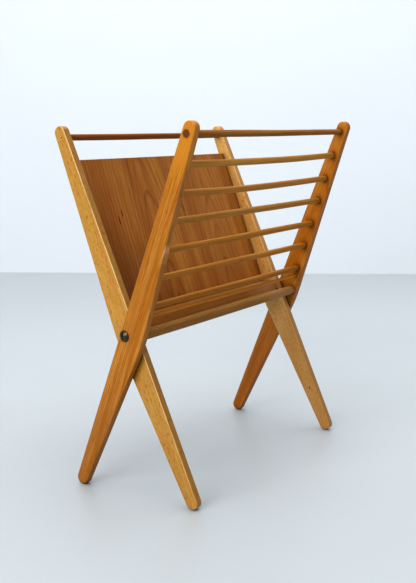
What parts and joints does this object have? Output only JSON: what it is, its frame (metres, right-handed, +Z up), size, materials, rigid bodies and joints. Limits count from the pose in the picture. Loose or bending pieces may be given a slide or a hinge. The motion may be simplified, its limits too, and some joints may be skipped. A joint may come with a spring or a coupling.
{
  "type": "magazine rack",
  "caption": "Folding X-frame wooden magazine rack: round spindles on one side, a veneered panel on the other, legs joined by dome-headed pivot bolts.",
  "frame": {"origin": "centre of the footprint, on the ground under the open rack", "axes": "+X along the rails; -Y towards the spindle side, +Y towards the panel side; +Z up"},
  "size_m": [0.4288, 0.2546, 0.5155],
  "materials": {
    "leg_wood_orange": "warm orange-brown hardwood, satin varnish, edges softened",
    "leg_wood_pale": "paler yellow-brown hardwood, satin varnish, edges softened",
    "rail_wood_dark": "dark red-brown stained hardwood, satin",
    "spindle_wood": "mid-brown turned hardwood, satin",
    "rod_wood_light": "light orange-brown hardwood, satin",
    "bottom_rail_wood": "brown hardwood, satin",
    "panel_veneer": "red-brown veneer with upright flame figure, satin",
    "slat_wood": "red-brown wood, satin",
    "bolt_bronze": "dark bronzed metal, polished dome",
    "nail_steel": "dull wire nail",
    "washer_steel": "dull plated steel",
    "glide_plastic": "black plastic glide"
  },
  "bodies": {
    "panel_frame": {"inner_leg_left": "leg_wood_pale", "inner_leg_right": "leg_wood_pale", "back_top_rail": "rail_wood_dark", "back_panel": "panel_veneer", "floor_slat": "slat_wood", "rail_nails": "nail_steel", "inner_foot_glides": "glide_plastic"},
    "spindle_frame": {"outer_leg_left": "leg_wood_orange", "outer_leg_right": "leg_wood_orange", "front_top_rail": "rail_wood_dark", "spindle_1": "spindle_wood", "spindle_2": "spindle_wood", "spindle_3": "spindle_wood", "spindle_4": "spindle_wood", "spindle_5": "spindle_wood", "spindle_6": "spindle_wood", "lower_rod": "rod_wood_light", "bottom_rail": "bottom_rail_wood", "pivot_bolts": "bolt_bronze", "spacer_washers": "washer_steel", "nut_washers": "washer_steel", "pivot_nuts": "washer_steel", "outer_foot_glides": "glide_plastic"}
  },
  "joints": [
    {"name": "fold", "type": "hinge", "parent": "panel_frame", "child": "spindle_frame", "pos_m": [0, 0, 0.2333], "axis": [1, 0, 0], "range_deg": [-43.5, 0]}
  ]
}
